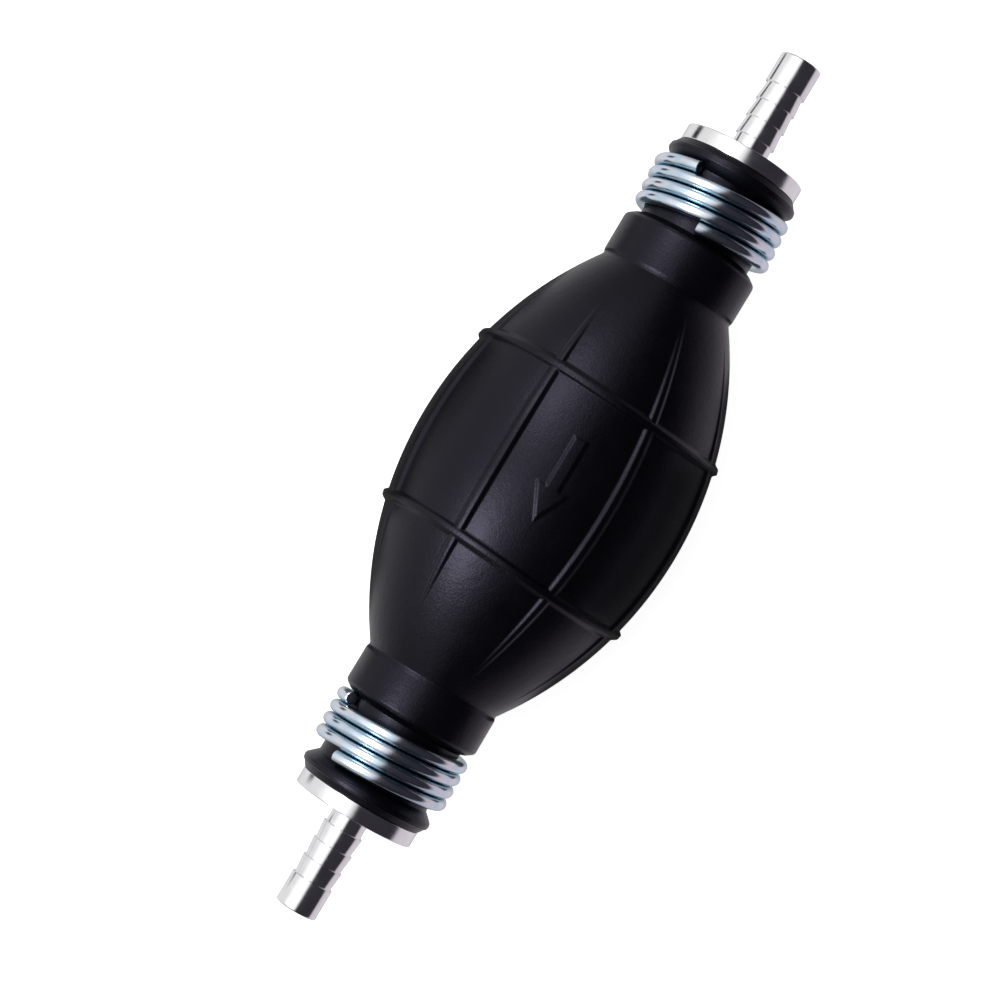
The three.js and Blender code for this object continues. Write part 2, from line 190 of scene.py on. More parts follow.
def rounded(corners, closed=False, steps=5):
    """The outline through corners (x, r, fillet radius), with each corner rounded by an arc."""
    longest = 0.48  # the share of a side that one fillet may take
    points = []
    count = len(corners)
    for i, (x, r, radius) in enumerate(corners):
        here = np.array((x, r))
        if radius == 0 or (not closed and i in (0, count - 1)):
            points.append(here)
            continue
        before = np.array(corners[i - 1][:2]) - here
        after = np.array(corners[(i + 1) % count][:2]) - here
        before_length, after_length = np.linalg.norm(before), np.linalg.norm(after)
        before, after = before / before_length, after / after_length
        half = math.acos(np.clip(before @ after, -1, 1)) / 2
        reach = min(radius / math.tan(half), longest * before_length, longest * after_length)
        radius = reach * math.tan(half)
        middle = before + after
        centre = here + middle / np.linalg.norm(middle) * radius / math.sin(half)
        start = here + before * reach - centre
        end = here + after * reach - centre
        turn = math.pi - 2 * half
        for k in range(steps + 1):
            share = k / steps
            mix = math.sin((1 - share) * turn) * start + math.sin(share * turn) * end
            points.append(centre + mix / math.sin(turn))
    return [tuple(p) for p in points]


def on_side(outline, side):
    """An outline given as distances from the centre, on the inlet's side (-1) or the outlet's (1)."""
    return [(side * d, r) for d, r in outline]


def belly(x):
    return BELLY_RADIUS - BELLY_ARC + np.sqrt(BELLY_ARC**2 - x**2)


def inner_belly(x):
    return BELLY_RADIUS - BELLY_ARC + np.sqrt((BELLY_ARC - WALL) ** 2 - x**2)


def arc_end(arc, radius):
    """How far along the axis an arc of the belly has come down to a radius."""
    return math.sqrt(arc**2 - (radius + BELLY_ARC - BELLY_RADIUS) ** 2)


# ---------------------------------------------------------------- meshes


def make_mesh(name, points, faces, material, sharp=30.0):
    """A smooth-shaded object from points in millimetres. Edges that turn more than sharp degrees
    stay crisp."""
    mesh = bpy.data.meshes.new(name)
    mesh.from_pydata((np.asarray(points) * MM).tolist(), [], faces)
    mesh.validate()
    mesh.polygons.foreach_set("use_smooth", [True] * len(mesh.polygons))
    mesh.set_sharp_from_angle(angle=math.radians(sharp))
    mesh.materials.append(material)
    piece = bpy.data.objects.new(name, mesh)
    bpy.context.collection.objects.link(piece)
    return piece


def face_outwards(piece):
    """Turns all of a closed mesh's faces outwards."""
    shape = bmesh.new()
    shape.from_mesh(piece.data)
    bmesh.ops.recalc_face_normals(shape, faces=shape.faces)
    if shape.calc_volume(signed=True) < 0:
        bmesh.ops.reverse_faces(shape, faces=shape.faces)
    shape.to_mesh(piece.data)
    shape.free()
    return piece


def loop_faces(rows, columns, close_rows=False):
    """Quads over a grid of points whose every row is a closed loop. The last row can join the
    first."""
    faces = []
    for i in range(rows if close_rows else rows - 1):
        below, above = i * columns, ((i + 1) % rows) * columns
        for j in range(columns):
            k = (j + 1) % columns
            faces.append((below + j, below + k, above + k, above + j))
    return faces


def turned(name, outline, material, segments=160):
    """A closed outline of (x, r) points, turned about the X axis."""
    angles = np.linspace(0, 2 * math.pi, segments, endpoint=False)
    x, r = np.array(outline).T
    points = np.stack(
        (
            np.tile(x, segments),
            np.outer(np.sin(angles), r).ravel(),
            np.outer(np.cos(angles), r).ravel(),
        ),
        axis=1,
    )
    faces = loop_faces(segments, len(outline), close_rows=True)
    return face_outwards(make_mesh(name, points, faces, material))


def wire(name, centres, radius, material, sides=28, chamfer_share=0.12):
    """A round wire about the X axis along centre points, with flat chamfered ends. It keeps, for
    its material, how far along the wire each point lies and which way round."""
    centres = np.asarray(centres)
    tangents = np.gradient(centres, axis=0)
    tangents /= np.linalg.norm(tangents, axis=1, keepdims=True)
    outwards = centres * (0, 1, 1)
    outwards -= tangents * np.sum(outwards * tangents, axis=1, keepdims=True)
    outwards /= np.linalg.norm(outwards, axis=1, keepdims=True)
    across = np.cross(tangents, outwards)
    chamfer = chamfer_share * radius
    radii = np.full(len(centres), radius)
    # the end rings are doubled, and the outer ones pulled in
    centres = np.concatenate(
        ([centres[0] - tangents[0] * chamfer], centres, [centres[-1] + tangents[-1] * chamfer])
    )
    outwards = np.concatenate((outwards[:1], outwards, outwards[-1:]))
    across = np.concatenate((across[:1], across, across[-1:]))
    radii = np.concatenate(([radius - chamfer], radii, [radius - chamfer]))
    turn = np.linspace(0, 2 * math.pi, sides, endpoint=False)
    around = np.stack((np.cos(turn), np.sin(turn)), axis=1)
    points = (
        centres[:, None]
        + radii[:, None, None] * around[None, :, :1] * outwards[:, None]
        + radii[:, None, None] * around[None, :, 1:] * across[:, None]
    ).reshape(-1, 3)
    rings = len(centres)
    faces = loop_faces(rings, sides)
    faces.append(tuple(range(sides)))
    faces.append(tuple(range((rings - 1) * sides, rings * sides)))
    piece = face_outwards(make_mesh(name, points, faces, material, sharp=35.0))
    steps = np.linalg.norm(np.diff(centres, axis=0), axis=1)
    along = np.concatenate(([0.0], np.cumsum(steps)))
    grain = np.zeros((rings, sides, 3))
    grain[..., 0] = along[:, None]
    grain[..., 1:] = around[None]
    attribute = piece.data.attributes.new("wire_grain", "FLOAT_VECTOR", "POINT")
    attribute.data.foreach_set("vector", grain.astype(np.float32).ravel())
    return piece


def plate(name, outer, holes, low, high, material, edge=0.06):
    """A flat plate in the YZ plane from x = low to x = high, with holes. Outlines are lists of
    (y, z), and the plate's edges are rounded."""
    curve = bpy.data.curves.new(name, "CURVE")
    curve.dimensions = "2D"
    curve.fill_mode = "BOTH"
    curve.extrude = (high - low) / 2 - edge
    curve.bevel_depth = edge
    curve.bevel_resolution = 2
    curve.offset = -edge
    for outline in (outer, *holes):
        spline = curve.splines.new("POLY")
        spline.points.add(len(outline) - 1)
        for point, (y, z) in zip(spline.points, outline):
            point.co = (y, z, 0, 1)
        spline.use_cyclic_u = True
    flat = bpy.data.objects.new(name + "_outline", curve)
    bpy.context.collection.objects.link(flat)
    bpy.context.view_layer.update()
    source = flat.to_mesh()
    shape = bmesh.new()
    shape.from_mesh(source)
    bmesh.ops.remove_doubles(shape, verts=shape.verts, dist=0.001)
    points = [((low + high) / 2 + v.co.z, v.co.x, v.co.y) for v in shape.verts]
    faces = [tuple(v.index for v in face.verts) for face in shape.faces]
    shape.free()
    flat.to_mesh_clear()
    bpy.data.objects.remove(flat)
    return face_outwards(make_mesh(name, points, faces, material))


def circle(radius, centre=(0.0, 0.0), segments=48, start=0.0, end=2 * math.pi):
    """Points round a circle, or along an arc of it when it doesn't close."""
    whole = abs(end - start) >= 2 * math.pi - 1e-6
    angles = np.linspace(start, end, segments, endpoint=not whole)
    return [(centre[0] + radius * math.cos(a), centre[1] + radius * math.sin(a)) for a in angles]


# ---------------------------------------------------------------- material nodes


class Nodes:
    """A node tree, with short calls for the nodes that it needs."""

    def __init__(self, tree):
        self.tree = tree

    def node(self, kind, inputs=None, **settings):
        node = self.tree.nodes.new(kind)
        for key, value in settings.items():
            setattr(node, key, value)
        for key, value in (inputs or {}).items():
            if isinstance(value, bpy.types.NodeSocket):
                self.tree.links.new(value, node.inputs[key])
            else:
                node.inputs[key].default_value = value
        return node

    def maths(self, operation, first, second=0.0):
        return self.node("ShaderNodeMath", {0: first, 1: second}, operation=operation).outputs[0]

    def between(self, value, low, high, start=0.3, end=0.7, **settings):
        inputs = {"Value": value, "From Min": start, "From Max": end, "To Min": low, "To Max": high}
        return self.node("ShaderNodeMapRange", inputs, **settings).outputs[0]

    def colours(self, value, stops):
        ramp = self.node("ShaderNodeValToRGB", {"Fac": value})
        elements = ramp.color_ramp.elements
        while len(elements) < len(stops):
            elements.new(0.5)
        for element, (position, colour) in zip(elements, stops):
            element.position = position
            element.color = (*colour, 1.0)
        return ramp.outputs["Color"]


class Shader(Nodes):
    """A node material around one Principled shader."""

    def __init__(self, name, **settings):
        self.material = bpy.data.materials.new(name)
        self.material.use_nodes = True
        super().__init__(self.material.node_tree)
        self.surface = self.tree.nodes["Principled BSDF"]
        for socket, value in settings.items():
            self.surface.inputs[socket.replace("_", " ")].default_value = value

    def place(self):
        return self.node("ShaderNodeTexCoord").outputs["Object"]

    def stretched(self, place, scale):
        return self.node("ShaderNodeMapping", {"Vector": place, "Scale": scale}).outputs[0]

    def noise(self, place, scale, detail=2.0, roughness=0.5):
        inputs = {"Vector": place, "Scale": scale, "Detail": detail, "Roughness": roughness}
        return self.node("ShaderNodeTexNoise", inputs).outputs["Fac"]

    def mixed(self, share, first, second):
        # a Mix node's inputs 6 and 7 and output 2 are its colours
        inputs = {"Factor": share, 6: first, 7: second}
        return self.node("ShaderNodeMix", inputs, data_type="RGBA").outputs[2]

    def bump(self, height, distance, strength, normal=None):
        inputs = {"Height": height, "Distance": distance * MM, "Strength": strength}
        if normal is not None:
            inputs["Normal"] = normal
        return self.node("ShaderNodeBump", inputs).outputs["Normal"]

    def set(self, socket, value):
        self.tree.links.new(value, self.surface.inputs[socket])


def per_mm(size):
    """The noise scale whose grain is about this many millimetres, in object coordinates, which are
    in metres."""
    return 1.0 / (size * MM)


def bulb_rubber():
    """Moulded black rubber: a fine matt grain, faint handling smears and a slight orange peel."""
    shader = Shader("bulb_rubber", Metallic=0.0, Specular_IOR_Level=0.28)
    shader.surface.inputs["Specular Tint"].default_value = (0.76, 0.72, 1.0, 1.0)
    place = shader.place()
    smears = shader.noise(place, per_mm(9.0), detail=4.0, roughness=0.6)
    grain = shader.noise(place, per_mm(0.42), detail=4.0, roughness=0.65)
    peel = shader.noise(place, per_mm(1.6), detail=2.0)
    shader.set("Roughness", shader.between(smears, 0.27, 0.34))
    blacks = [(0.3, (0.0012, 0.0012, 0.0017)), (0.7, (0.0020, 0.0018, 0.0028))]
    shader.set("Base Color", shader.colours(smears, blacks))
    peeled = shader.bump(peel, 0.07, 0.5)
    shader.set("Normal", shader.bump(grain, 0.05, 0.8, peeled))
    return shader.material


def turned_metal(name, colour, roughness, marks):
    """Metal turned on a lathe about X: rings round the cylinders and on the faces, marks deep."""
    shader = Shader(name, Metallic=1.0)
    place = shader.place()
    parts = shader.node("ShaderNodeSeparateXYZ", {0: place})
    y_square = shader.maths("POWER", parts.outputs["Y"], 2.0)
    z_square = shader.maths("POWER", parts.outputs["Z"], 2.0)
    radius = shader.maths("SQRT", shader.maths("ADD", y_square, z_square))
    section = {"X": parts.outputs["X"], "Y": radius}
    rings_place = shader.node("ShaderNodeCombineXYZ", section).outputs[0]
    rings = shader.noise(rings_place, per_mm(0.16), detail=2.0, roughness=0.7)
    handling = shader.noise(place, per_mm(3.2), detail=4.0, roughness=0.65)
    shader.set("Roughness", shader.between(handling, roughness * 0.8, roughness * 1.35))
    darker = tuple(0.93 * c for c in colour)
    shader.set("Base Color", shader.colours(handling, [(0.35, darker), (0.6, colour)]))
    dents = shader.bump(handling, 0.012, 0.5)
    shader.set("Normal", shader.bump(rings, marks, 0.5, dents))
    return shader.material


def zinc_wire():
    """Bright zinc-plated spring wire: blue, with a faint straw and violet bloom and drawing lines
    along it, and painted shade: the flanks between the turns are mixed towards a darker teal."""
    shader = Shader("clamp_zinc_wire", Metallic=1.0)
    grain_place = shader.node("ShaderNodeAttribute", attribute_name="wire_grain").outputs["Vector"]
    lines_place = shader.stretched(grain_place, (0.15, 9.0, 9.0))
    lines = shader.noise(lines_place, 1.0, detail=3.0, roughness=0.6)
    bloom_place = shader.stretched(grain_place, (0.35, 0.8, 0.8))
    bloom = shader.noise(bloom_place, 1.0, detail=2.0, roughness=0.6)
    crest = shader.colours(
        bloom,
        [
            (0.30, (0.56, 0.71, 0.86)),
            (0.45, (0.63, 0.75, 0.87)),
            (0.55, (0.74, 0.76, 0.85)),
            (0.68, (0.76, 0.79, 0.81)),
        ],
    )
    # painted shade: the wire's flanks, which face the neighbouring turns, are mixed towards a darker
    # teal
    parts = shader.node("ShaderNodeSeparateXYZ", {0: grain_place}).outputs
    sideways = shader.maths("ABSOLUTE", parts["Z"])
    painted_flank_shade = shader.between(sideways, 0.0, 0.85, 0.45, 1.0, interpolation_type="SMOOTHSTEP")
    painted_gap_shade_teal = (0.34, 0.52, 0.62, 1.0)
    shader.set("Base Color", shader.mixed(painted_flank_shade, crest, painted_gap_shade_teal))
    shader.set("Roughness", shader.between(lines, 0.13, 0.2))
    shader.set("Normal", shader.bump(lines, 0.01, 0.45))
    return shader.material


def drawn_steel():
    """Drawn spring steel: grey, with a fine uneven grain."""
    shader = Shader("spring_drawn_steel", Metallic=1.0)
    grain = shader.noise(shader.place(), per_mm(0.25), detail=3.0, roughness=0.6)
    greys = [(0.3, (0.42, 0.43, 0.45)), (0.7, (0.56, 0.57, 0.58))]
    shader.set("Base Color", shader.colours(grain, greys))
    shader.set("Roughness", shader.between(grain, 0.25, 0.4))
    shader.set("Normal", shader.bump(grain, 0.004, 0.4))
    return shader.material


def polished_steel():
    """A polished bearing ball with the faintest haze."""
    shader = Shader("ball_polished_steel", Metallic=1.0)
    haze = shader.noise(shader.place(), per_mm(0.8), detail=4.0, roughness=0.7)
    greys = [(0.3, (0.70, 0.71, 0.73)), (0.7, (0.78, 0.79, 0.80))]
    shader.set("Base Color", shader.colours(haze, greys))
    shader.set("Roughness", shader.between(haze, 0.05, 0.12))
    return shader.material


def seal_rubber():
    """Smooth nitrile rubber."""
    shader = Shader("seal_nitrile", Metallic=0.0)
    grain = shader.noise(shader.place(), per_mm(0.3), detail=2.0)
    blacks = [(0.3, (0.006, 0.006, 0.006)), (0.7, (0.011, 0.011, 0.011))]
    shader.set("Base Color", shader.colours(grain, blacks))
    shader.set("Roughness", shader.between(grain, 0.42, 0.55))
    shader.set("Normal", shader.bump(grain, 0.006, 0.4))
    return shader.material


# ---------------------------------------------------------------- rubber bulb


def neck_corners(shoulder):
    """A neck from the belly's foot over the clamp's groove and the rolled lip, whose end is folded
    down to the flange, to the mouth of its bore: (distance from the centre, radius, fillet)."""
    foot_radius = NECK_RADIUS - NECK_STEP
    foot = arc_end(BELLY_ARC, foot_radius)
    return [
        (foot + 0.05, foot_radius, 0.7),
        (foot + 0.75, NECK_RADIUS, 1.2),
        (shoulder - SHOULDER_WIDTH, NECK_RADIUS + 0.05, 1.0),
        (shoulder - 0.4, SHOULDER_EDGE_RADIUS, 0.4),
        (shoulder, GROOVE_RADIUS, 0.35),
        (GROOVE_TO, GROOVE_RADIUS, 0.6),
        (LIP_FROM, LIP_RADIUS, 0.9),
        (LIP_TO, LIP_RADIUS - 0.2, 0.15),
        (LIP_TO + 0.12, LIP_RADIUS - 0.45, 0.12),
        (RUBBER_END, FLANGE_RADIUS + 0.05, 0.3),
        (RUBBER_END, NECK_BORE, 0.3),
    ]


def stations(start, end, zones, coarse):
    """Places from start to end, coarse apart, and finer inside each zone (from, to, step)."""
    places = [start]
    while places[-1] < end:
        here = places[-1]
        step = min([coarse] + [s for low, high, s in zones if low - s <= here <= high])
        nearest = [low - s for low, _, s in zones if here < low - s < here + step]
        places.append(min([here + step, *nearest, end]))
    return np.array(places)


def bulb_outline():
    """The bulb's closed section as points (x, r), and whether each lies on the belly's outside,
    which carries the ribs."""
    hoop_step, arrow_step, plain_step = 0.15, 0.17, 0.8
    hoop_room = HOOP_FOOT + 1.0
    arrow_room = 0.4
    foot_gap, mouth_gap = 0.45, 0.5  # where the arcs stop, short of the necks' corners
    reach = arc_end(BELLY_ARC, NECK_RADIUS) - foot_gap
    zones = [(x - hoop_room, x + hoop_room, hoop_step) for x, _ in HOOPS]
    zones.append((ARROW_TAIL - arrow_room, ARROW_TIP + arrow_room, arrow_step))
    along = stations(-reach, reach, zones, plain_step)
    outer_belly = [(x, belly(x)) for x in along]
    foot = (reach, belly(reach), 0)
    mouth = (arc_end(BELLY_ARC - WALL, NECK_BORE), NECK_BORE, 0)
    inlet, outlet = (rounded([foot, *neck_corners(s), mouth])[1:] for s in SHOULDERS)
    inner_reach = mouth[0] - mouth_gap
    inside = [(x, inner_belly(x)) for x in np.linspace(inner_reach, -inner_reach, 61)]
    outline = [*on_side(inlet, -1)[::-1], *outer_belly, *outlet, *inside]
    carries = np.zeros(len(outline))
    carries[len(inlet) : len(inlet) + len(along)] = 1.0
    return np.array(outline), carries


def arrow_relief(x, across):
    """The flow arrow's height: a stem and a head with soft edges."""
    neck = ARROW_TIP - ARROW_HEAD_LENGTH
    half_head = ARROW_HEAD_WIDTH / 2
    lean = math.atan2(half_head, ARROW_HEAD_LENGTH)
    painted_flank_shade = np.abs(across) * math.cos(lean) + (x - ARROW_TIP) * math.sin(lean)
    head = np.maximum(neck - x, painted_flank_shade)
    stem_ends = np.maximum(ARROW_TAIL - x, x - neck - 1)
    stem = np.maximum(np.abs(across) - ARROW_STEM_WIDTH / 2, stem_ends)
    outside = np.minimum(head, stem)
    return ARROW_HEIGHT * smoothstep(ARROW_EDGE, -ARROW_EDGE, outside)


def relief(x, angle, radius):
    """How far the ribs, hoops and arrow stand out of the smooth belly."""
    height = arrow_relief(x, radius * angle)
    for place, lean in HOOPS:
        leaning = math.tan(math.radians(lean)) * radius * np.sin(angle)
        offset = np.abs(x - place - (leaning + HOOP_WAVE * np.sin(2 * angle)))
        height = np.maximum(height, HOOP_HEIGHT * smoothstep(HOOP_FOOT, HOOP_CREST, offset))
    for place, reach in LONG_RIBS:
        share = np.clip(np.abs(x) / reach, 0, 1)
        taper = 1 - share**2.5
        foot = LONG_RIB_TIP + (LONG_RIB_FOOT - LONG_RIB_TIP) * taper
        crest = LONG_RIB_CREST * taper
        offset = radius * np.abs(angle - np.radians(place + LONG_RIB_DRIFT * share**2))
        height = np.maximum(height, LONG_RIB_HEIGHT * taper * smoothstep(foot, crest, offset))
    return height


def half_turn_angles(side):
    """Angles from the arrow's side to the far side, closer together over each rib and the arrow."""
    fine, coarse = 0.42, 1.8  # degrees
    arrow_room, rib_room = 0.5, 0.3
    arrow_half = math.degrees((ARROW_HEAD_WIDTH / 2 + arrow_room) / BELLY_RADIUS)
    rib_half = math.degrees((LONG_RIB_FOOT + rib_room) / BELLY_RADIUS)
    zones = [(0, arrow_half, fine)]
    for place, _ in LONG_RIBS:
        if side * place > 0:
            ends = sorted((side * place, side * (place + LONG_RIB_DRIFT)))
            zones.append((ends[0] - rib_half, ends[1] + rib_half, fine))
    return np.radians(stations(0, 180, zones, coarse))


def half_bulb(name, side, material):
    """One half of the moulding, from the plane y = 0 out to y = side * belly radius."""
    outline, carries = bulb_outline()
    angles = half_turn_angles(side)
    x, r = outline[:, 0][None], outline[:, 1][None]
    turn = side * angles[:, None]
    radius = r + carries[None] * relief(x, turn, r)
    y = radius * np.sin(turn)
    y[0] = y[-1] = 0.0
    z = radius * np.cos(turn)
    points = np.stack((np.broadcast_to(x, y.shape), y, z), axis=2).reshape(-1, 3)
    rows, columns = y.shape
    faces = loop_faces(rows, columns)
    faces.append(tuple(range(columns)))
    faces.append(tuple(range((rows - 1) * columns, rows * columns)))
    piece = make_mesh(name, points, faces, material, sharp=50.0)
    shape = bmesh.new()
    shape.from_mesh(piece.data)
    caps = [face for face in shape.faces if len(face.verts) > 4]
    bmesh.ops.triangulate(shape, faces=caps, ngon_method="EAR_CLIP")
    shape.to_mesh(piece.data)
    shape.free()
    return face_outwards(piece)


# ---------------------------------------------------------------- end fittings


def fitting_outline(side, chamber_to):
    """The closed section of a fitting: spigot, flange and hose barb outside, bore, valve chamber
    and snap ring's groove inside."""
    spigot_end = cad("outlet_fitting", 0, 0)
    ridge_radius = NECK_BORE - 0.3
    corners = [(spigot_end, CHAMBER_RADIUS, 0.1), (spigot_end, SPIGOT_RADIUS, 0.3)]
    for start in SPIGOT_RIDGES:
        end = start + SPIGOT_RIDGE_LENGTH
        corners += [(start, SPIGOT_RADIUS, 0), (end, ridge_radius, 0.08), (end, SPIGOT_RADIUS, 0)]
    corners += [
        (FLANGE_FROM, SPIGOT_RADIUS, 0),
        (FLANGE_FROM, FLANGE_RADIUS, 0.22),
        (FLANGE_TO, FLANGE_RADIUS, 0.28),
        (FLANGE_TO, BARB_NECK_RADIUS, 0.25),
    ]
    crest = FLANGE_TO + BARB_FIRST
    corners += [(crest, BARB_NECK_RADIUS, 0.08), (crest, BARB_CREST_RADIUS, 0.1)]
    for _ in range(2):
        crest += BARB_PITCH
        corners += [(crest, BARB_ROOT_RADIUS, 0.08), (crest, BARB_CREST_RADIUS, 0.1)]
    tip = crest + BARB_PITCH
    groove_from, groove_to = SNAP_GROOVE
    groove_radius = CHAMBER_RADIUS + SNAP_GROOVE_DEPTH
    corners += [
        (tip, BARB_ROOT_RADIUS, 0.08),
        (tip, BARB_TIP_RADIUS, 0.14),
        (HALF_LENGTH, BARB_TIP_RADIUS, 0.42),
        (HALF_LENGTH, BORE_RADIUS, 0.32),
        (chamber_to, BORE_RADIUS, 0.1),
        (chamber_to, CHAMBER_RADIUS, 0.3),
        (groove_to, CHAMBER_RADIUS, 0),
        (groove_to, groove_radius, 0.1),
        (groove_from, groove_radius, 0.1),
        (groove_from, CHAMBER_RADIUS, 0),
    ]
    return on_side(rounded(corners, closed=True), side)


# ---------------------------------------------------------------- coil clamps


def clamp_path(side, outer_end, angle, turns, lean):
    """Centre points of a clamp's wire, from its outer end in towards the bulb. The coil leans and
    sits askew."""
    steps_a_turn = 96
    steps = round(turns * steps_a_turn)
    share = np.linspace(0, 1, steps + 1)
    start = math.radians(angle)
    turn = start + side * share * turns * 2 * math.pi
    distance = outer_end - share * turns * CLAMP_PITCH
    slope = math.tan(math.radians(lean))
    skew = side * slope * (distance - outer_end + turns * CLAMP_PITCH / 2)
    y = CLAMP_RADIUS * np.sin(turn)
    z = CLAMP_RADIUS * np.cos(turn)
    x = side * distance - slope * (y - y[0])
    return np.stack((x, y + skew, z), axis=1)


# ---------------------------------------------------------------- valve parts


def valve_ball(name, node, material):
    """A ball: a subdivided cube pushed out to the sphere, so that its faces are even."""
    low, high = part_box(node)
    shape = bmesh.new()
    bmesh.ops.create_cube(shape, size=2.0)
    bmesh.ops.subdivide_edges(shape, edges=shape.edges[:], cuts=15, use_grid_fill=True)
    radius = (high.x - low.x) / 2 / MM
    centre = np.array(low + high) / 2 / MM
    points = [centre + radius * np.array(v.co.normalized()) for v in shape.verts]
    faces = [tuple(v.index for v in face.verts) for face in shape.faces]
    shape.free()
    return face_outwards(make_mesh(name, points, faces, material, sharp=60.0))


def valve_spring(name, node, material):
    """A compression spring whose end turns lie closed."""
    low, high = cad(node, 0, 0), cad(node, 1, 0)
    radius, coil, turns = 0.25, 2.35, 6.5
    closed = 0.4  # how far each end turn rises
    ease = 0.35  # how much of the rise between them starts and ends gently
    share = np.linspace(0, 1, 330)
    end_turn = 1 / turns
    middle = np.clip((share - 0.5 * end_turn) / (1 - end_turn), 0, 1)
    rise = ease * smoothstep(0, 1, middle) + (1 - ease) * middle
    x = low + radius + closed * np.minimum(share / end_turn, 1)
    x += (high - low - 2 * radius - 2 * closed) * rise
    x += closed * np.maximum((share - 1 + end_turn) / end_turn, 0)
    turn = share * turns * 2 * math.pi
    path = np.stack((x, coil * np.cos(turn), coil * np.sin(turn)), axis=1)
    return wire(name, path, radius, material, sides=12)


def seat_seal(name, node, material):
    """The rubber ring that the ball closes on."""
    low, high = cad(node, 0, 0), cad(node, 1, 0)
    ring_radius = 3.5
    section = circle((high - low) / 2, ((low + high) / 2, ring_radius), segments=32)
    return turned(name, section, material, segments=96)


def outlet_seat(name, material):
    """The brass insert that carries the outlet's seal."""
    low, high = cad("outlet_valve_seat", 0, 0), cad("outlet_valve_seat", 1, 0)
    corners = [
        (low, BORE_RADIUS, 0.4),
        (low, CHAMBER_FIT_RADIUS, 0.15),
        (high, CHAMBER_FIT_RADIUS, 0.15),
        (high, BORE_RADIUS, 0.15),
    ]
    return turned(name, rounded(corners, closed=True), material, segments=96)


def spring_retainer(name, material):
    """The washer that the inlet's spring stands on, with a ring of holes for the flow."""
    low, high = cad("inlet_spring_retainer", 0, 0), cad("inlet_spring_retainer", 1, 0)
    middle_hole, flow_hole, hole_circle, flow_holes = 1.5, 0.65, 3.2, 6
    holes = [circle(middle_hole, segments=36)]
    for i in range(flow_holes):
        turn = i * 2 * math.pi / flow_holes
        centre = (hole_circle * math.cos(turn), hole_circle * math.sin(turn))
        holes.append(circle(flow_hole, centre, segments=24))
    return plate(name, circle(CHAMBER_FIT_RADIUS, segments=72), holes, low, high, material)


def snap_ring(name, node, material):
    """An internal snap ring: an open ring whose ends widen inwards into lugs, with a hole each for
    the pliers."""
    low, high = cad(node, 0, 0), cad(node, 1, 0)
    opening, lug = math.radians(28), math.radians(21)  # half the gap, and the length of a lug
    outer_radius, inner_radius, lug_radius = 5.0, 4.0, 3.15
    eye_circle, eye_radius = 4.05, 0.36
    outer = circle(outer_radius, segments=72, start=opening, end=2 * math.pi - opening)
    inner = []
    for angle in np.linspace(2 * math.pi - opening, opening, 140):
        from_end = min(angle, 2 * math.pi - angle) - opening
        past_lug = smoothstep(0.8 * lug, 1.25 * lug, from_end)
        radius = lug_radius + (inner_radius - lug_radius) * past_lug
        inner.append((radius * math.cos(angle), radius * math.sin(angle)))
    holes = []
    for turn in (opening + lug / 2, -opening - lug / 2):
        eye = (eye_circle * math.cos(turn), eye_circle * math.sin(turn))
        holes.append(circle(eye_radius, eye, segments=20))
    return plate(name, [*outer, *inner], holes, low, high, material, edge=0.05)


# ---------------------------------------------------------------- studio


def studio_floor():
    """A plain pale floor that also glows a little, so that it stays pale under the pump."""
    shader = Shader("studio_floor", Roughness=0.9, Emission_Strength=FLOOR_GLOW)
    shader.surface.inputs["Base Color"].default_value = (FLOOR_GREY,) * 3 + (1.0,)
    shader.surface.inputs["Emission Color"].default_value = (1.0, 1.0, 1.0, 1.0)
    half = 2500.0
    gap = 0.05
    level = -BELLY_RADIUS - gap
    corners = [(x * half, y * half, level) for x, y in ((-1, -1), (1, -1), (1, 1), (-1, 1))]
    floor = make_mesh("studio_floor", corners, [(0, 1, 2, 3)], shader.material)
    floor.visible_glossy = False


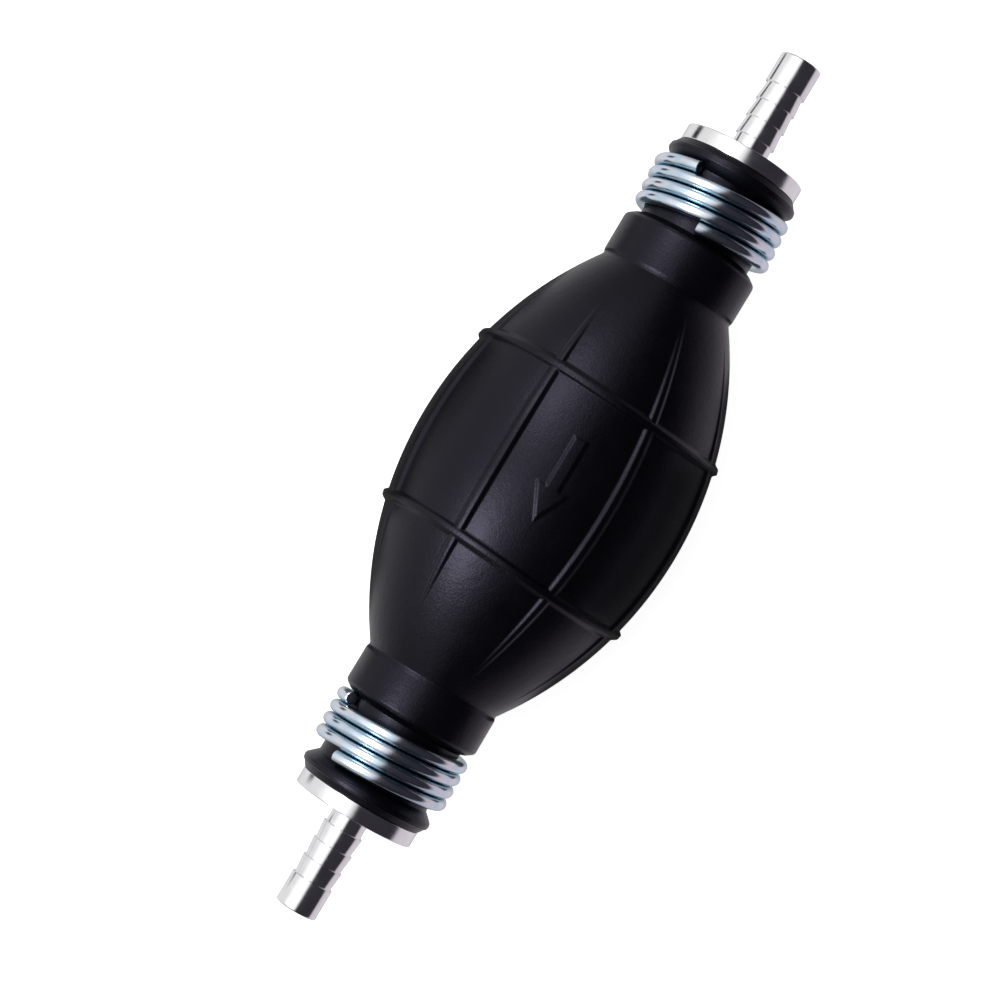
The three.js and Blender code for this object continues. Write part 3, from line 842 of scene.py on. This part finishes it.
def studio_world():
    """Soft light that changes with the angle about the pump's axis: bright above and to the right
    of the flow, dark above and to its left. It fades towards the pump's two ends, and a short,
    narrow dark strip stands low on the right, where only the inlet's end mirrors it. The picture's
    background is plain."""
    # degrees from +Z towards +Y, and brightness
    stops = [
        (-180, (0.45, 0.44, 0.45)),
        (-158, (0.66, 0.65, 0.66)),
        (-140, (0.80, 0.79, 0.81)),
        (-80, (0.82, 0.82, 0.82)),
        (-50, (1.22, 1.22, 1.22)),
        (-16, (1.22, 1.22, 1.22)),
        (-4, (0.75, 0.75, 0.77)),
        (2, (0.030, 0.027, 0.036)),
        (86, (0.030, 0.027, 0.036)),
        (94, (0.62, 0.56, 0.62)),
        (140, (0.70, 0.66, 0.70)),
        (158, (0.58, 0.56, 0.58)),
        (179, (0.45, 0.44, 0.45)),
    ]
    brightest = 2.0
    world = bpy.data.worlds.new("studio")
    world.use_nodes = True
    world.node_tree.nodes.clear()
    nodes = Nodes(world.node_tree)
    coordinates = nodes.node("ShaderNodeTexCoord").outputs["Generated"]
    parts = nodes.node("ShaderNodeSeparateXYZ", {0: coordinates}).outputs
    angle = nodes.maths("ARCTAN2", parts["Y"], parts["Z"])
    share = nodes.between(angle, 0, 1, -math.pi, math.pi)
    colour_stops = [((turn + 180) / 360, [c / brightest for c in tint]) for turn, tint in stops]
    colour = nodes.colours(share, colour_stops)
    endways = nodes.maths("ABSOLUTE", parts["X"])
    soft = {"interpolation_type": "SMOOTHSTEP"}
    fade = nodes.between(endways, 1.0, ENDS_LIGHT, *ENDS_FADE, **soft)
    strip_turn = nodes.maths("ADD", angle, math.radians(STRIP_TURN))
    across_strip = nodes.maths("ABSOLUTE", strip_turn)
    along_strip = nodes.maths("ABSOLUTE", nodes.maths("SUBTRACT", parts["X"], STRIP_MIDDLE))
    strip = nodes.maths(
        "MULTIPLY",
        nodes.between(across_strip, 1.0, 0.0, *map(math.radians, STRIP_WIDTH_FADE), **soft),
        nodes.between(along_strip, 1.0, 0.0, *STRIP_LENGTH_FADE, **soft),
    )
    dimmed = nodes.maths("MULTIPLY", fade, nodes.between(strip, 1.0, STRIP_LIGHT, 0.0, 1.0))
    strength = nodes.maths("MULTIPLY", dimmed, brightest)
    light = nodes.node("ShaderNodeBackground", {"Color": colour, "Strength": strength}).outputs[0]
    plain = nodes.node("ShaderNodeBackground", {"Color": (1.0, 1.0, 1.0, 1.0)}).outputs[0]
    seen = nodes.node("ShaderNodeLightPath").outputs["Is Camera Ray"]
    mix = nodes.node("ShaderNodeMixShader", {0: seen, 1: light, 2: plain}).outputs[0]
    nodes.node("ShaderNodeOutputWorld", {"Surface": mix})
    bpy.context.scene.world = world


def studio_cards():
    """Dark cards at each side of the belly and under it, seen only in reflections: painted shade
    that dims what the pump's flanks mirror, those under the belly standing in for the floor's shade."""
    shader = Shader("studio_card", Roughness=1.0, Specular_IOR_Level=0.0)
    shader.surface.inputs["Base Color"].default_value = (CARD_SHADE_GREY,) * 3 + (1.0,)
    for name, half, low, high in CARDS:
        corners = [(-half, *low), (half, *low), (half, *high), (-half, *high)]
        card = make_mesh(name, corners, [(0, 1, 2, 3)], shader.material)
        card.visible_camera = False
        card.visible_diffuse = False
        card.visible_shadow = False


def direction(lean, about):
    """The direction that leans from +Z towards +X, and is turned about X towards +Y, in degrees."""
    lean, about = math.radians(lean), math.radians(about)
    y = math.cos(lean) * math.sin(about)
    z = math.cos(lean) * math.cos(about)
    return Vector((math.sin(lean), y, z))


def studio_lamps():
    """Two soft lamps above the right of the flow, one towards each end."""
    for name, side, power in zip(("lamp_inlet", "lamp_outlet"), (-1, 1), LAMP_POWERS):
        data = bpy.data.lights.new(name, "AREA")
        data.size = LAMP_SIZE * MM
        data.energy = power
        out = direction(side * LAMP_LEAN, LAMP_TURN)
        lamp = bpy.data.objects.new(name, data)
        lamp.location = out * LAMP_DISTANCE * MM
        lamp.rotation_euler = out.to_track_quat("Z", "Y").to_euler()
        lamp.visible_camera = False
        bpy.context.collection.objects.link(lamp)


def picture_axes(back):
    """The picture's right, up and back directions, rolled so that the pump's axis lies as in the
    photograph."""
    roll = math.radians(VIEW_ROLL)
    axis = Vector((1, 0, 0))
    along = (axis - back * axis.dot(back)).normalized()
    across = back.cross(along)
    right = along * math.cos(roll) - across * math.sin(roll)
    up = along * math.sin(roll) + across * math.cos(roll)
    return right, up, back


def studio_camera():
    """The photograph's view: almost straight down on the arrow, the inlet at the upper right."""
    back = direction(VIEW_LEAN, VIEW_TURN)
    place = back * VIEW_DISTANCE * MM
    right, up, _ = picture_axes(back)
    aim = -(right * VIEW_OFFSET[0] + up * VIEW_OFFSET[1]) * MM
    right, up, back = picture_axes((place - aim).normalized())
    data = bpy.data.cameras.new("camera")
    data.lens = VIEW_LENS
    data.sensor_width = VIEW_SENSOR
    data.clip_start = 0.01
    data.clip_end = 20.0
    camera = bpy.data.objects.new("camera", data)
    turned_to = Matrix((right, up, back)).transposed().to_4x4()
    camera.matrix_world = Matrix.Translation(place) @ turned_to
    bpy.context.collection.objects.link(camera)
    bpy.context.scene.camera = camera


# ---------------------------------------------------------------- assembly


def fit(piece, body, slot, *nodes):
    """A finished piece rides on its body, in place of its CAD nodes. Its slot is not used."""
    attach(piece, body)
    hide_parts(*nodes)


def fit_bulb():
    """The two halves of the moulding."""
    rubber = bulb_rubber()
    for name, side in (("left", 1), ("right", -1)):
        half = half_bulb(f"bulb_{name}_half", side, rubber)
        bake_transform(half)
        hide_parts("bulb_body", f"bulb_wall_{name}")


def fit_end(end, side, clamp, chamber_to, looks):
    """One end of the pump: fitting, clamp, and the valve parts that both ends share."""
    outline = fitting_outline(side, chamber_to)
    body = turned(f"{end}_barb_fitting", outline, looks["aluminium"])
    fit(body, BODY, "fitting_aluminium", f"{end}_fitting")

    coil = wire(f"{end}_wire_clamp", clamp_path(*clamp), WIRE_RADIUS, looks["zinc"])
    fit(coil, BODY, "clamp_zinc_steel", f"{end}_coil_clamp")

    seal = seat_seal(f"{end}_check_seal", f"{end}_seat_seal", looks["seal"])
    fit(seal, BODY, "seal_rubber", f"{end}_seat_seal")

    ball = valve_ball(f"{end}_check_ball", f"{end}_valve_ball", looks["ball"])
    fit(ball, f"{end}_ball", "ball_steel", f"{end}_valve_ball")

    node = f"{end}_valve_spring"
    spring = valve_spring(f"{end}_check_spring", node, looks["spring"])
    fit(spring, BODY, "spring_steel", node)
    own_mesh(spring)

    ring = snap_ring(f"{end}_check_snap_ring", f"{end}_snap_ring", looks["spring"])
    fit(ring, BODY, "spring_steel", f"{end}_snap_ring")


def main():
    bpy.context.scene.view_settings.view_transform = "Standard"
    studio_camera()
    studio_world()
    studio_lamps()
    studio_cards()
    studio_floor()
    silver, gold = (0.92, 0.92, 0.93), (0.75, 0.56, 0.27)
    looks = {
        "aluminium": turned_metal("fitting_turned_aluminium", silver, roughness=0.145, marks=0.012),
        "brass": turned_metal("valve_turned_brass", gold, roughness=0.22, marks=0.01),
        "zinc": zinc_wire(),
        "spring": drawn_steel(),
        "ball": polished_steel(),
        "seal": seal_rubber(),
    }
    fit_bulb()
    play = 0.1
    inlet_chamber = -cad("inlet_seat_seal", 0, 0) + play
    outlet_chamber = cad("outlet_valve_spring", 1, 0) + play
    fit_end("inlet", -1, INLET_CLAMP, inlet_chamber, looks)
    fit_end("outlet", 1, OUTLET_CLAMP, outlet_chamber, looks)
    retainer = spring_retainer("inlet_check_retainer", looks["brass"])
    fit(retainer, BODY, "valve_brass", "inlet_spring_retainer")
    seat = outlet_seat("outlet_check_seat", looks["brass"])
    fit(seat, BODY, "valve_brass", "outlet_valve_seat")


main()
